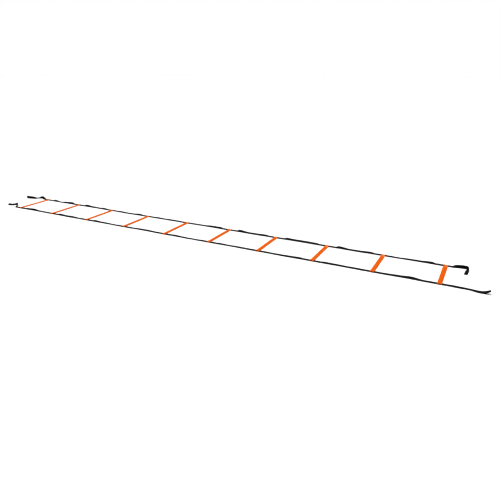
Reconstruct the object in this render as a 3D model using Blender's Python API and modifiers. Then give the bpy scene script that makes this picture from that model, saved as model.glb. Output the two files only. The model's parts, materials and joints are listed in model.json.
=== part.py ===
"""Agility ladder laid out on the floor: ten moulded slats carried on two flat webbing straps.

Metres, +Z up. X runs along the straps, Y across the ladder, and the floor is z = 0.
The origin is on the floor, midway between the first and the last rung and between the straps.
Each strap is divided at the middle of every bay, where the webbing folds when the ladder is stacked.
"""
import math

import bmesh
import bpy
from mathutils import Vector

MM = 0.001

# Ladder layout
RUNG_COUNT = 10
RUNG_PITCH = 500 * MM
RUNG_LENGTH = 420 * MM
RUNG_WIDTH = 34 * MM
SLIDE_TRAVEL = 50 * MM

# Slat, lying flat with a raised keeper at each end for the strap to run through
BLADE_THICKNESS = 3.2 * MM
CROWN_RISE = 0.8 * MM
RUNG_CORNER = 4 * MM
EDGE_ROUND = 0.8 * MM
KEEPER_BAR = 1.4 * MM
KEEPER_BRIDGE = 2.4 * MM
OUTER_POST = 2.4 * MM
INNER_POST = 4 * MM
NOTCH_LENGTH = 22 * MM
NOTCH_DEPTH = 9 * MM
NOTCH_SINK = 0.4 * MM
RAMP_LENGTH = 14 * MM

# Webbing
WEBBING_WIDTH = 25 * MM
WEBBING_THICKNESS = 1.5 * MM
STRAP_CLEARANCE = 0.3 * MM
FOLD_GAP = 0.3 * MM
SLIDE_MARGIN = 4 * MM
SETTLE_LENGTH = 36 * MM
SWAY = 5 * MM
STATION_STEP = 10 * MM
MAX_TILT = math.radians(36)

# Loose tails past the first and the last rung
TAIL_LENGTH = 350 * MM
TAIL_SLIDE_TRAVEL = 20 * MM
CORNER_BEND = 14 * MM
CURL_RISE = 22 * MM

CUT_OVERRUN = 1 * MM

# Derived sizes
TUNNEL_HEIGHT = WEBBING_THICKNESS + 2 * STRAP_CLEARANCE
KEEPER_TOP = KEEPER_BAR + TUNNEL_HEIGHT + KEEPER_BRIDGE
STRAP_Z = KEEPER_BAR + TUNNEL_HEIGHT / 2
STRAP_Y = RUNG_LENGTH / 2 - OUTER_POST - STRAP_CLEARANCE - WEBBING_WIDTH / 2
TUNNEL_WIDTH = WEBBING_WIDTH + 2 * STRAP_CLEARANCE
KEEPER_START = STRAP_Y - TUNNEL_WIDTH / 2 - INNER_POST
FLAT_REACH = SLIDE_TRAVEL + RUNG_WIDTH / 2 + SLIDE_MARGIN
TAIL_FLAT_REACH = TAIL_SLIDE_TRAVEL + RUNG_WIDTH / 2 + SLIDE_MARGIN
FREE_REACH = RUNG_PITCH / 2 - FLAT_REACH
FIRST_RUNG_X = -RUNG_PITCH * (RUNG_COUNT - 1) / 2

# How the webbing lies in each bay, bay 1 first: its tilt at four places along the bay, as shares
# of the largest tilt. A positive tilt raises the edge on the far side.
TILT_PLACE_SHARES = (-0.75, -0.25, 0.25, 0.75)
TILT_REACH_SHARE = 0.5
NEAR_TILT_SHARES = (
    (0.5, 0.85, 0.1, 0.15),
    (0.55, 0.35, 0.45, 0.05),
    (0.5, 0.15, 0.1, -0.1),
    (0.05, 0.2, 0.25, 0.1),
    (0.3, 0.1, -0.05, -0.1),
    (0.2, 0.0, 0.1, 0.1),
    (0.05, 0.15, 0.25, 0.35),
    (0.3, 0.2, 0.1, 0.15),
    (0.15, 0.3, 0.75, 0.1),
)
FAR_TILT_SHARES = (
    (0.65, -0.1, 0.5, 1.0),
    (0.95, 0.35, 0.15, 0.5),
    (0.25, 0.1, 0.1, 0.55),
    (0.25, 0.05, 0.2, 0.2),
    (0.15, 0.1, 0.5, 0.6),
    (0.95, 0.35, 0.35, 0.5),
    (0.75, 0.55, 0.6, 0.55),
    (0.85, 0.25, 0.3, 0.55),
    (-0.1, 0.15, 0.2, 0.6),
)
NEAR_SWAY_SHARES = (0.4, -0.6, 0.3, 0.8, -0.4, 0.5, -0.7, 0.3, 0.6)
FAR_SWAY_SHARES = (-0.3, 0.5, -0.8, 0.4, 0.6, -0.5, 0.3, -0.6, 0.4)

# How each tail lies, as rows from the end rung outwards: distance along the strap as a share of
# the tail, drift across the ladder as a share of the webbing width, lift of the lower edge as a
# share of the curl, and tilt in degrees, positive where the far edge stands up.
NEAR_LEFT_TAIL_SHARES = (
    (0.20, 0.0, 0.0, 15.0),
    (0.27, 0.9, 0.0, 50.0),
    (0.34, 2.2, 0.0, 75.0),
    (0.40, 2.9, 0.0, 70.0),
    (0.46, 2.5, 0.0, 34.0),
    (0.53, 1.5, 0.0, 26.0),
    (0.60, 1.2, 0.0, 32.0),
    (0.69, 1.3, 0.0, 30.0),
)
FAR_LEFT_TAIL_SHARES = (
    (0.22, 0.3, 0.0, 32.0),
    (0.30, 0.8, 0.0, 66.0),
    (0.38, 0.8, 0.0, 55.0),
    (0.46, 0.3, 0.0, 12.0),
    (0.53, -0.7, 0.0, 20.0),
    (0.61, -1.4, 0.0, 60.0),
    (0.72, -1.8, 0.0, 80.0),
    (0.87, -1.9, 0.0, 74.0),
)
NEAR_RIGHT_TAIL_SHARES = (
    (0.22, 0.0, 0.0, 6.0),
    (0.39, -0.15, 0.0, 8.0),
    (0.60, -0.2, 0.0, 4.0),
    (0.76, -0.9, 0.0, 16.0),
    (0.87, -0.85, 0.12, 18.0),
    (0.98, -0.6, 1.0, 4.0),
)
# The last tail turns a corner towards the near side, so its rows after the turn run across. Its
# corner and its end are shares of the tail, and the drift of its end is a share of the webbing width.
FAR_RIGHT_RUN_SHARES = (
    (0.17, 0.0, 0.0, 26.0),
    (0.25, 0.1, 0.0, 50.0),
    (0.34, 0.25, 0.0, 66.0),
)
FAR_RIGHT_CORNER_SHARE = 0.43
FAR_RIGHT_END_SHARE = 0.81
FAR_RIGHT_END_DRIFT_SHARE = -0.3
FAR_RIGHT_END_TILTS = (80.0, 34.0, 6.0, 0.0, 0.0)


def add_material(name, colour, roughness):
    """A plain finish in the piece's own colour."""
    material = bpy.data.materials.new(name)
    material.use_nodes = True
    shader = material.node_tree.nodes["Principled BSDF"]
    shader.inputs["Base Color"].default_value = (*colour, 1)
    shader.inputs["Roughness"].default_value = roughness
    shader.inputs["Metallic"].default_value = 0
    material.diffuse_color = (*colour, 1)
    return material


def add_object(name, mesh, collection, material=None):
    """Link a mesh under its own name, with its own material."""
    thing = bpy.data.objects.new(name, mesh)
    collection.objects.link(thing)
    if material is not None:
        thing.data.materials.append(material)
    return thing


def hump(x, centre, reach):
    """One smooth rise and fall between centre - reach and centre + reach, 1 at the centre."""
    share = abs(x - centre) / reach
    return 0.5 + 0.5 * math.cos(math.pi * share) if share < 1 else 0.0


def ease(share):
    """A smooth step from 0 to 1."""
    share = min(max(share, 0.0), 1.0)
    return share * share * (3 - 2 * share)


def rung_x(number):
    """Where a rung lies along the ladder, counted from 1."""
    return FIRST_RUNG_X + (number - 1) * RUNG_PITCH


def rung_outline():
    """Places along half a rung, from its middle to its end, each with the half width there."""
    places = [(0.0, RUNG_WIDTH / 2)]
    ramp_steps = 4
    for step in range(ramp_steps + 1):
        y = KEEPER_START - RAMP_LENGTH * (1 - step / ramp_steps)
        places.append((y, RUNG_WIDTH / 2))
    corner_steps = 4
    for step in range(corner_steps + 1):
        turn = math.pi / 2 * step / corner_steps
        y = RUNG_LENGTH / 2 - RUNG_CORNER * (1 - math.sin(turn))
        places.append((y, RUNG_WIDTH / 2 - RUNG_CORNER * (1 - math.cos(turn))))
    return places


def crest_height(y):
    """Height of the slat's crown at a place along it."""
    climb = ease((abs(y) - KEEPER_START + RAMP_LENGTH) / RAMP_LENGTH)
    return BLADE_THICKNESS + (KEEPER_TOP - BLADE_THICKNESS) * climb


def build_rung_mesh(cutters):
    """The slat: a crowned top sheet dropped to a flat underside, rimmed, slotted for the straps."""
    half = rung_outline()
    outline = [(-y, w) for y, w in reversed(half[1:])] + half
    columns = 4
    shape = bmesh.new()
    bmesh.ops.create_grid(shape, x_segments=columns, y_segments=len(outline) - 1, size=1)
    for vert in shape.verts:
        y, half_width = outline[round((vert.co.y + 1) / 2 * (len(outline) - 1))]
        across = vert.co.x
        height = crest_height(y) - CROWN_RISE * across**2
        vert.co = Vector((across * half_width, y, height))
    top = list(shape.faces)
    rim = [edge for edge in shape.edges if edge.is_boundary]
    walls = bmesh.ops.extrude_edge_only(shape, edges=rim)["geom"]
    foot = [item for item in walls if isinstance(item, bmesh.types.BMVert)]
    for vert in foot:
        vert.co.z = 0
    sole = [edge for edge in shape.edges if edge.is_boundary]
    bmesh.ops.contextual_create(shape, geom=sole)
    bmesh.ops.recalc_face_normals(shape, faces=shape.faces)
    crown = set(top)
    rim = [edge for edge in shape.edges if len(crown.intersection(edge.link_faces)) == 1]
    bmesh.ops.bevel(
        shape, geom=rim, offset=EDGE_ROUND, segments=2, profile=0.5, affect="EDGES", clamp_overlap=True
    )
    mesh = bpy.data.meshes.new("rung_blank")
    shape.to_mesh(mesh)
    shape.free()
    blank = add_object("rung_blank", mesh, cutters)
    for side in (-1, 1):
        for cutter in add_keeper_cutters(side, cutters):
            cut = blank.modifiers.new(cutter.name, "BOOLEAN")
            cut.operation = "DIFFERENCE"
            cut.object = cutter
    hide_guide(blank)
    depsgraph = bpy.context.evaluated_depsgraph_get()
    finished = bpy.data.meshes.new_from_object(blank.evaluated_get(depsgraph))
    finished.name = "rung"
    return finished


def hide_guide(thing):
    """Cutters and blanks are kept in the file and never rendered."""
    thing.hide_render = True
    thing.display_type = "WIRE"


def add_box_cutter(name, low, high, cutters):
    """A box between two opposite corners, to be cut out of the slat."""
    mesh = bpy.data.meshes.new(name)
    box = bmesh.new()
    bmesh.ops.create_cube(box, size=1)
    bmesh.ops.scale(box, vec=high - low, verts=box.verts)
    bmesh.ops.translate(box, vec=(low + high) / 2, verts=box.verts)
    box.to_mesh(mesh)
    box.free()
    cutter = add_object(name, mesh, cutters)
    hide_guide(cutter)
    return cutter


def add_keeper_cutters(side, cutters):
    """The slot for a strap at one end of the slat, and the notch that shows the strap's edge."""
    word = "near" if side < 0 else "far"
    half_width = RUNG_WIDTH / 2 + CUT_OVERRUN
    slot_low = Vector((-half_width, side * STRAP_Y - TUNNEL_WIDTH / 2, KEEPER_BAR))
    slot_high = Vector((half_width, side * STRAP_Y + TUNNEL_WIDTH / 2, KEEPER_BAR + TUNNEL_HEIGHT))
    ends = sorted((side * (RUNG_LENGTH / 2 - NOTCH_DEPTH), side * (RUNG_LENGTH / 2 + CUT_OVERRUN)))
    notch_low = Vector((-NOTCH_LENGTH / 2, ends[0], KEEPER_BAR - NOTCH_SINK))
    notch_high = Vector((NOTCH_LENGTH / 2, ends[1], KEEPER_TOP + CUT_OVERRUN))
    return (
        add_box_cutter(f"slot_cutter_{word}", slot_low, slot_high, cutters),
        add_box_cutter(f"notch_cutter_{word}", notch_low, notch_high, cutters),
    )


def build_band(name, stations, collection, material):
    """A length of webbing along stations of centre and across direction, given its thickness."""
    sheet = bmesh.new()
    last = len(stations) - 1
    bmesh.ops.create_grid(sheet, x_segments=last, y_segments=1, size=1)
    for vert in sheet.verts:
        centre, across = stations[round((vert.co.x + 1) / 2 * last)]
        vert.co = centre + across * (vert.co.y * WEBBING_WIDTH / 2)
    mesh = bpy.data.meshes.new(name)
    sheet.to_mesh(mesh)
    sheet.free()
    band = add_object(name, mesh, collection, material)
    ply = band.modifiers.new("ply", "SOLIDIFY")
    ply.thickness = WEBBING_THICKNESS
    ply.offset = 0
    return band


def resting_height(tilt, settled=1.0):
    """Height of a tilted band's middle when its lower edge touches the floor.

    Settled is 0 where the band leaves a keeper, a little above the floor, and 1 where it lies free.
    """
    touching = WEBBING_WIDTH / 2 * abs(math.sin(tilt)) + WEBBING_THICKNESS / 2 * abs(math.cos(tilt))
    return touching + (STRAP_Z - WEBBING_THICKNESS / 2) * (1 - settled)


def bay_station(x, side):
    """Centre and across direction of a strap at a place between two rungs or under one."""
    bay = min(max(int((x - FIRST_RUNG_X) // RUNG_PITCH), 0), RUNG_COUNT - 2)
    middle = FIRST_RUNG_X + (bay + 0.5) * RUNG_PITCH
    tilt_shares = (NEAR_TILT_SHARES if side < 0 else FAR_TILT_SHARES)[bay]
    sway = (NEAR_SWAY_SHARES if side < 0 else FAR_SWAY_SHARES)[bay]
    settled = ease((FREE_REACH - abs(x - middle)) / SETTLE_LENGTH)
    tilt = 0.0
    for place, share in zip(TILT_PLACE_SHARES, tilt_shares):
        wave = hump(x, middle + place * FREE_REACH, TILT_REACH_SHARE * FREE_REACH)
        tilt += settled * share * MAX_TILT * wave
    y = side * STRAP_Y + sway * SWAY * hump(x, middle, FREE_REACH)
    return Vector((x, y, resting_height(tilt, settled))), Vector((0, math.cos(tilt), math.sin(tilt)))


def even_places(start, end):
    """Evenly spaced places from start to end, about one station step apart."""
    steps = max(1, round((end - start) / STATION_STEP))
    return [start + (end - start) * step / steps for step in range(steps + 1)]


def section_places(number):
    """Places along one section of strap: close together where it waves, none where it is flat."""
    x = rung_x(number)
    places = []
    if number > 1:
        places += even_places(x - RUNG_PITCH / 2 + FOLD_GAP / 2, x - FLAT_REACH)
    if number < RUNG_COUNT:
        places += even_places(x + FLAT_REACH, x + RUNG_PITCH / 2 - FOLD_GAP / 2)
    return places


def curve_between(p, q, r, s, t):
    """A number on the smooth curve from q to r, whose neighbours are p and s, at the share t."""
    bow = t**2 * (p - 2.5 * q + 2 * r - s / 2)
    turn = t**3 * (1.5 * (q - r) + (s - p) / 2)
    return q + t * (r - p) / 2 + bow + turn


def smooth_rows(rows):
    """Rows of numbers joined by a smooth curve through each of them."""
    steps = 4
    rows = [rows[0], *rows, rows[-1]]
    found = []
    for spans in zip(rows, rows[1:], rows[2:], rows[3:]):
        for step in range(steps):
            found.append(tuple(curve_between(*span, step / steps) for span in zip(*spans)))
    return found + [rows[-1]]


def tail_centres(rows, side, end):
    """Centres and tilts of a tail that runs on from an end rung, end -1 for the first and 1 for the last."""
    start_x = rung_x(1 if end < 0 else RUNG_COUNT)
    flat_share = TAIL_FLAT_REACH / TAIL_LENGTH
    centres = []
    for along, drift, lift, tilt_degrees in smooth_rows([(flat_share, 0.0, 0.0, 0.0), *rows]):
        settled = ease((along - flat_share) * TAIL_LENGTH / SETTLE_LENGTH)
        tilt = settled * math.radians(tilt_degrees)
        height = resting_height(tilt, settled) + lift * CURL_RISE
        place = Vector((start_x + end * along * TAIL_LENGTH, side * STRAP_Y + drift * WEBBING_WIDTH, height))
        centres.append((place, tilt))
    return centres


def tilted_stations(centres, end):
    """Give each centre its across direction: level and square to the path, then tilted about it.

    The path runs outwards from the end rung, and end is -1 for the first and 1 for the last.
    """
    stations = []
    for index, (place, tilt) in enumerate(centres):
        before = centres[max(index - 1, 0)][0]
        after = centres[min(index + 1, len(centres) - 1)][0]
        ahead = (after - before).normalized()
        level = end * Vector((0, 0, 1)).cross(ahead).normalized()
        up = end * ahead.cross(level)
        stations.append((place, level * math.cos(tilt) + up * math.sin(tilt)))
    return stations


def corner_tail_centres():
    """The far tail at the last rung: it tips onto its edge, turns a corner and lies down again."""
    tilt_degrees = FAR_RIGHT_END_TILTS[0]
    corner_row = (FAR_RIGHT_CORNER_SHARE, *FAR_RIGHT_RUN_SHARES[-1][1:3], tilt_degrees)
    centres = tail_centres([*FAR_RIGHT_RUN_SHARES, corner_row], 1, 1)
    corner, tilt = centres[-1]
    bend_steps = 5
    for step in range(1, bend_steps + 1):
        turn = math.pi / 2 * step / bend_steps
        centres.append((corner + CORNER_BEND * Vector((math.sin(turn), math.cos(turn) - 1, 0)), tilt))
    run = TAIL_LENGTH * (FAR_RIGHT_END_SHARE - FAR_RIGHT_CORNER_SHARE) - CORNER_BEND * math.pi / 2
    turned = centres[-1][0]
    last = len(FAR_RIGHT_END_TILTS) - 1
    rows = [(index / last, tilt_degrees) for index, tilt_degrees in enumerate(FAR_RIGHT_END_TILTS)]
    for along, tilt_degrees in smooth_rows(rows)[1:]:
        tilt = math.radians(tilt_degrees)
        drift = FAR_RIGHT_END_DRIFT_SHARE * WEBBING_WIDTH * along**2
        place = Vector((turned.x + drift, turned.y - run * along, resting_height(tilt)))
        centres.append((place, tilt))
    return centres


def section_stations(number, side):
    """All stations of one section of strap, with its tail on the first and last rung."""
    stations = [bay_station(x, side) for x in section_places(number)]
    if number == 1:
        rows = NEAR_LEFT_TAIL_SHARES if side < 0 else FAR_LEFT_TAIL_SHARES
        stations = tilted_stations(tail_centres(rows, side, -1), -1)[::-1] + stations
    if number == RUNG_COUNT:
        centres = tail_centres(NEAR_RIGHT_TAIL_SHARES, side, 1) if side < 0 else corner_tail_centres()
        stations += tilted_stations(centres, 1)
    return stations


def main():
    for thing in list(bpy.data.objects):
        bpy.data.objects.remove(thing)
    scene = bpy.context.scene
    parts = bpy.data.collections.new("agility_ladder")
    cutters = bpy.data.collections.new("cutters")
    scene.collection.children.link(parts)
    scene.collection.children.link(cutters)

    rung_mesh = build_rung_mesh(cutters)
    rung_mesh.materials.clear()
    rung_mesh.materials.append(add_material("orange_slat", (1.0, 0.127, 0.002), 0.42))
    webbing = add_material("black_webbing", (0.006, 0.006, 0.007), 0.8)
    for number in range(1, RUNG_COUNT + 1):
        rung = add_object(f"rung_{number:02d}", rung_mesh, parts)
        rung.location.x = rung_x(number)
        for side, word in ((-1, "near"), (1, "far")):
            build_band(f"{word}_strap_{number:02d}", section_stations(number, side), parts, webbing)


main()
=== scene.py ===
"""Agility ladder laid out on a pale studio floor: moulded slats carried on two woven webbing straps.

Metres, +Z up. X runs along the straps, Y across the ladder, and the floor is z = 0.
Every slat rides on its own body. The ladder folds up at the middle of each bay,
and the loose tails ride on the end sections.
"""
import json
import math

import bmesh
import bpy
from mathutils import Matrix, Vector

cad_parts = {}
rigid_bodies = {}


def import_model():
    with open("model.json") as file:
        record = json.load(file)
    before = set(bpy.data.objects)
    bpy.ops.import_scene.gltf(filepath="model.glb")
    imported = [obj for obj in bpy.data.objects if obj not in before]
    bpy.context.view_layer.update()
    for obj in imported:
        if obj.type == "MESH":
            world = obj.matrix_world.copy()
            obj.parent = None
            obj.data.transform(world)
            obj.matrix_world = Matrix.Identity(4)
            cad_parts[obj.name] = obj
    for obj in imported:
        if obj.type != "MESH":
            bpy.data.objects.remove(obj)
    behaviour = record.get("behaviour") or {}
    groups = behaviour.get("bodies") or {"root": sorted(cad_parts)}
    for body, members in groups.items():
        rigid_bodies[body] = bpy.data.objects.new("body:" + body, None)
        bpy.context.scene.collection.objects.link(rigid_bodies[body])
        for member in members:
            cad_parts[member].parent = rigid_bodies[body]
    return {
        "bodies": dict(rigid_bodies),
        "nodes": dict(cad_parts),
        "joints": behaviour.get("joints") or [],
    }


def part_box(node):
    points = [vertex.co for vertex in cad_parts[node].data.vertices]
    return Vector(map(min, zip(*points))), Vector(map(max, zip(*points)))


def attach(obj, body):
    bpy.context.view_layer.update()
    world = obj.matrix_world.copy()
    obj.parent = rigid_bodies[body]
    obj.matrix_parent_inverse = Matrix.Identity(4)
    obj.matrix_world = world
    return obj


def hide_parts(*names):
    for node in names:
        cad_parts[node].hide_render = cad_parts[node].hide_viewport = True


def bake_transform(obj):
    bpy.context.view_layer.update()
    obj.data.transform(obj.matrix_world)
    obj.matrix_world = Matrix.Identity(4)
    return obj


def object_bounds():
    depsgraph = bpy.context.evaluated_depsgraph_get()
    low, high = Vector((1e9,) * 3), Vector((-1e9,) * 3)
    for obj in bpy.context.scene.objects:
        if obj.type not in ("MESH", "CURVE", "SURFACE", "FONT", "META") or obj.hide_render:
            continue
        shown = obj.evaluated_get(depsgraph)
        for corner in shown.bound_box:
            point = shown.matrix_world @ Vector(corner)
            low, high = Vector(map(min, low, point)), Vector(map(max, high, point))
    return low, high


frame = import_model()
CAD_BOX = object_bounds()

bl_info = {
    "name": "Agility Ladder",
    "version": (1, 0, 0),
    "blender": (4, 5, 0),
    "location": "View3D > Sidebar > Ladder",
    "description": "Moulded slats, woven webbing and a pale stage for an agility ladder",
    "category": "Object",
}

MM = 0.001

# The ladder's layout, read from the frame
RUNG_COUNT = sum(name.startswith("rung_") for name in frame["nodes"])
FIRST_SLAT_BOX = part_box("rung_01")
RUNG_LENGTH = FIRST_SLAT_BOX[1].y - FIRST_SLAT_BOX[0].y
RUNG_WIDTH = FIRST_SLAT_BOX[1].x - FIRST_SLAT_BOX[0].x
KEEPER_TOP = FIRST_SLAT_BOX[1].z
FIRST_RUNG_X = (FIRST_SLAT_BOX[0].x + FIRST_SLAT_BOX[1].x) / 2
RUNG_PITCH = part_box("rung_02")[0].x - FIRST_SLAT_BOX[0].x
SLIDES = {joint["name"]: joint["range_m"] for joint in frame["joints"] if joint["type"] == "slide"}
SLIDE_TRAVEL = SLIDES["rung_02_slide"][1]
TAIL_SLIDE_TRAVEL = -SLIDES["rung_01_slide"][0]
FOLD_HEIGHTS = {joint["name"]: joint["pos_m"][2] for joint in frame["joints"] if joint["type"] == "hinge"}

# The slat's keeper, which the webbing runs through
KEEPER_BAR = 1.4 * MM
OUTER_POST = 2.4 * MM
INNER_POST = 4 * MM
NOTCH_LENGTH = 22 * MM
NOTCH_DEPTH = 9 * MM
NOTCH_SINK = 0.4 * MM
NOTCH_ROUND = 2 * MM
STRAP_CLEARANCE = 0.3 * MM
SLIDE_MARGIN = 4 * MM
WEBBING_WIDTH = 25 * MM
WEBBING_THICKNESS = 1.5 * MM

# How the webbing lies, in the same sizes as the frame's straps
SETTLE_LENGTH = 36 * MM
SWAY = 5 * MM
MAX_TILT = math.radians(36)
TAIL_LENGTH = 350 * MM
CORNER_BEND = 14 * MM
CURL_RISE = 22 * MM
FREE_STEP = 4 * MM
GUIDED_STEP = 12 * MM
FOLD_STEP = 0.8 * MM
FOLD_REACH_SHARE = 1.7

# The lowest section that stays level as the ladder folds up, and how far it has sunk when the folds
# stand square, as a share of the rungs' spacing.
LEVEL_SECTION = "section_09"
LEVEL_SECTION_DROP_SHARE = 2

# Where ejector pins marked the sole, as shares of half the slat's length, on both sides of its middle.
PIN_MARK_SHARES = (0.24, 0.72)

# How the webbing lies in each bay, bay 1 first: its tilt at four places along the bay, as shares
# of the largest tilt. A positive tilt raises the edge on the far side.
TILT_PLACE_SHARES = (-0.75, -0.25, 0.25, 0.75)
TILT_REACH_SHARE = 0.5
NEAR_TILT_SHARES = (
    (0.5, 0.85, 0.1, 0.15),
    (0.55, 0.35, 0.45, 0.05),
    (0.5, 0.15, 0.1, -0.1),
    (0.05, 0.2, 0.25, 0.1),
    (0.3, 0.1, -0.05, -0.1),
    (0.2, 0.0, 0.1, 0.1),
    (0.05, 0.15, 0.25, 0.35),
    (0.3, 0.2, 0.1, 0.15),
    (0.15, 0.3, 0.75, 0.1),
)
FAR_TILT_SHARES = (
    (0.65, -0.1, 0.5, 1.0),
    (0.95, 0.35, 0.15, 0.5),
    (0.25, 0.1, 0.1, 0.55),
    (0.25, 0.05, 0.2, 0.2),
    (0.15, 0.1, 0.5, 0.6),
    (0.95, 0.35, 0.35, 0.5),
    (0.75, 0.55, 0.6, 0.55),
    (0.85, 0.25, 0.3, 0.55),
    (-0.1, 0.15, 0.2, 0.6),
)
NEAR_SWAY_SHARES = (0.4, -0.6, 0.3, 0.8, -0.4, 0.5, -0.7, 0.3, 0.6)
FAR_SWAY_SHARES = (-0.3, 0.5, -0.8, 0.4, 0.6, -0.5, 0.3, -0.6, 0.4)

# How each tail lies, as rows from the end rung outwards: distance along the strap as a share of
# the tail, drift across the ladder as a share of the webbing width, lift of the lower edge as a
# share of the curl, and tilt in degrees, positive where the far edge stands up.
NEAR_LEFT_TAIL_SHARES = (
    (0.20, 0.0, 0.0, 15.0),
    (0.27, 0.9, 0.0, 50.0),
    (0.34, 2.2, 0.0, 75.0),
    (0.40, 2.9, 0.0, 70.0),
    (0.46, 2.5, 0.0, 34.0),
    (0.53, 1.5, 0.0, 26.0),
    (0.60, 1.2, 0.0, 32.0),
    (0.69, 1.3, 0.0, 30.0),
)
FAR_LEFT_TAIL_SHARES = (
    (0.22, 0.3, 0.0, 32.0),
    (0.30, 0.8, 0.0, 66.0),
    (0.38, 0.8, 0.0, 55.0),
    (0.46, 0.3, 0.0, 12.0),
    (0.53, -0.7, 0.0, 20.0),
    (0.61, -1.4, 0.0, 60.0),
    (0.72, -1.8, 0.0, 80.0),
    (0.87, -1.9, 0.0, 74.0),
)
NEAR_RIGHT_TAIL_SHARES = (
    (0.22, 0.0, 0.0, 6.0),
    (0.39, -0.15, 0.0, 8.0),
    (0.60, -0.2, 0.0, 4.0),
    (0.76, -0.9, 0.0, 16.0),
    (0.87, -0.85, 0.12, 18.0),
    (0.98, -0.6, 1.0, 4.0),
)
# The last tail turns a corner towards the near side, so its rows after the turn run across. Its
# corner and its end are shares of the tail, and the drift of its end is a share of the webbing width.
FAR_RIGHT_RUN_SHARES = (
    (0.17, 0.0, 0.0, 26.0),
    (0.25, 0.1, 0.0, 50.0),
    (0.34, 0.25, 0.0, 66.0),
)
FAR_RIGHT_CORNER_SHARE = 0.43
FAR_RIGHT_END_SHARE = 0.81
FAR_RIGHT_END_DRIFT_SHARE = -0.3
FAR_RIGHT_END_TILTS = (80.0, 34.0, 6.0, 0.0, 0.0)

# The webbing's upper profile from one edge almost to the middle, and mirrored beyond it: place across
# and height, as shares of half the width and half the thickness. A rounded selvedge cord stands
# beside a groove.
EDGE_PROFILE_SHARES = (
    (-1.0, 0.0),
    (-0.992, 0.46),
    (-0.972, 0.8),
    (-0.94, 0.97),
    (-0.905, 0.95),
    (-0.875, 0.8),
    (-0.84, 0.88),
    (-0.78, 1.0),
    (-0.5, 1.0),
    (-0.25, 1.0),
)


def linear_colour(hex_colour):
    """Linear RGBA of an sRGB colour written as six hex digits."""
    channels = [int(hex_colour[start:start + 2], 16) / 255 for start in (0, 2, 4)]
    return tuple(c / 12.92 if c <= 0.04045 else ((c + 0.055) / 1.055) ** 2.4 for c in channels) + (1.0,)


class SlatSettings(bpy.types.PropertyGroup):
    """Sizes and colours of a moulded slat."""

    length: bpy.props.FloatProperty(
        name="Length", description="Length of a slat, across the ladder", default=RUNG_LENGTH, unit="LENGTH"
    )
    width: bpy.props.FloatProperty(
        name="Width", description="Width of a slat, along the ladder", default=RUNG_WIDTH, unit="LENGTH"
    )
    blade_thickness: bpy.props.FloatProperty(
        name="Blade Thickness",
        description="Thickness of the flat blade at its middle",
        default=3.2 * MM,
        unit="LENGTH",
    )
    keeper_top: bpy.props.FloatProperty(
        name="Keeper Top", description="Height of the raised keepers", default=KEEPER_TOP, unit="LENGTH"
    )
    crown_rise: bpy.props.FloatProperty(
        name="Crown Rise",
        description="How much the middle stands above the rim",
        default=0.8 * MM,
        unit="LENGTH",
    )
    corner_radius: bpy.props.FloatProperty(
        name="Corner Radius",
        description="Radius of the slat's corners in plan",
        default=4 * MM,
        unit="LENGTH",
    )
    rim_round: bpy.props.FloatProperty(
        name="Rim Round", description="Radius along the upper rim", default=0.8 * MM, unit="LENGTH"
    )
    sole_round: bpy.props.FloatProperty(
        name="Sole Round", description="Radius along the lower rim", default=0.3 * MM, unit="LENGTH"
    )
    ramp_length: bpy.props.FloatProperty(
        name="Ramp Length",
        description="Length of the climb from the blade to a keeper",
        default=14 * MM,
        unit="LENGTH",
    )
    mouth_flare: bpy.props.FloatProperty(
        name="Mouth Flare",
        description="Chamfer where the webbing enters a keeper",
        default=0.5 * MM,
        unit="LENGTH",
    )
    pin_mark_width: bpy.props.FloatProperty(
        name="Pin Mark Width",
        description="Width of an ejector pin's mark in the sole",
        default=6 * MM,
        unit="LENGTH",
    )
    pin_mark_depth: bpy.props.FloatProperty(
        name="Pin Mark Depth",
        description="Depth of an ejector pin's mark in the sole",
        default=0.2 * MM,
        unit="LENGTH",
    )
    colour: bpy.props.FloatVectorProperty(
        name="Colour",
        description="Colour of the moulded polypropylene",
        subtype="COLOR",
        size=4,
        default=linear_colour("DC7300"),
    )
    rubbed_colour: bpy.props.FloatVectorProperty(
        name="Rubbed Colour",
        description="Paler colour where the rim and the scuffs are rubbed",
        subtype="COLOR",
        size=4,
        default=linear_colour("F07D34"),
    )


class WebbingSettings(bpy.types.PropertyGroup):
    """Sizes and colours of the woven straps."""

    width: bpy.props.FloatProperty(
        name="Width", description="Width of the webbing", default=WEBBING_WIDTH, unit="LENGTH"
    )
    thickness: bpy.props.FloatProperty(
        name="Thickness", description="Thickness of the webbing", default=WEBBING_THICKNESS, unit="LENGTH"
    )
    warp_pitch: bpy.props.FloatProperty(
        name="Warp Pitch", description="Width of one lengthwise yarn", default=1.4 * MM, unit="LENGTH"
    )
    weft_pitch: bpy.props.FloatProperty(
        name="Weft Pitch", description="Length of one yarn float", default=2.4 * MM, unit="LENGTH"
    )
    sealed_length: bpy.props.FloatProperty(
        name="Sealed Length", description="Length melted hard at a cut end", default=1.6 * MM, unit="LENGTH"
    )
    colour: bpy.props.FloatVectorProperty(
        name="Colour",
        description="Colour of the yarn's crowns",
        subtype="COLOR",
        size=4,
        default=linear_colour("141415"),
    )
    # Painted shade: this darker colour stands in for the shade between the yarns' crowns and in the hollows
    # of a melted tip.
    hollow_shade_colour: bpy.props.FloatVectorProperty(
        name="Hollow Shade Colour",
        description="Colour between the yarns",
        subtype="COLOR",
        size=4,
        default=linear_colour("050506"),
    )
    lint_colour: bpy.props.FloatVectorProperty(
        name="Lint Colour",
        description="Colour of the dust and lint caught in the weave",
        subtype="COLOR",
        size=4,
        default=linear_colour("3A3936"),
    )


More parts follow.
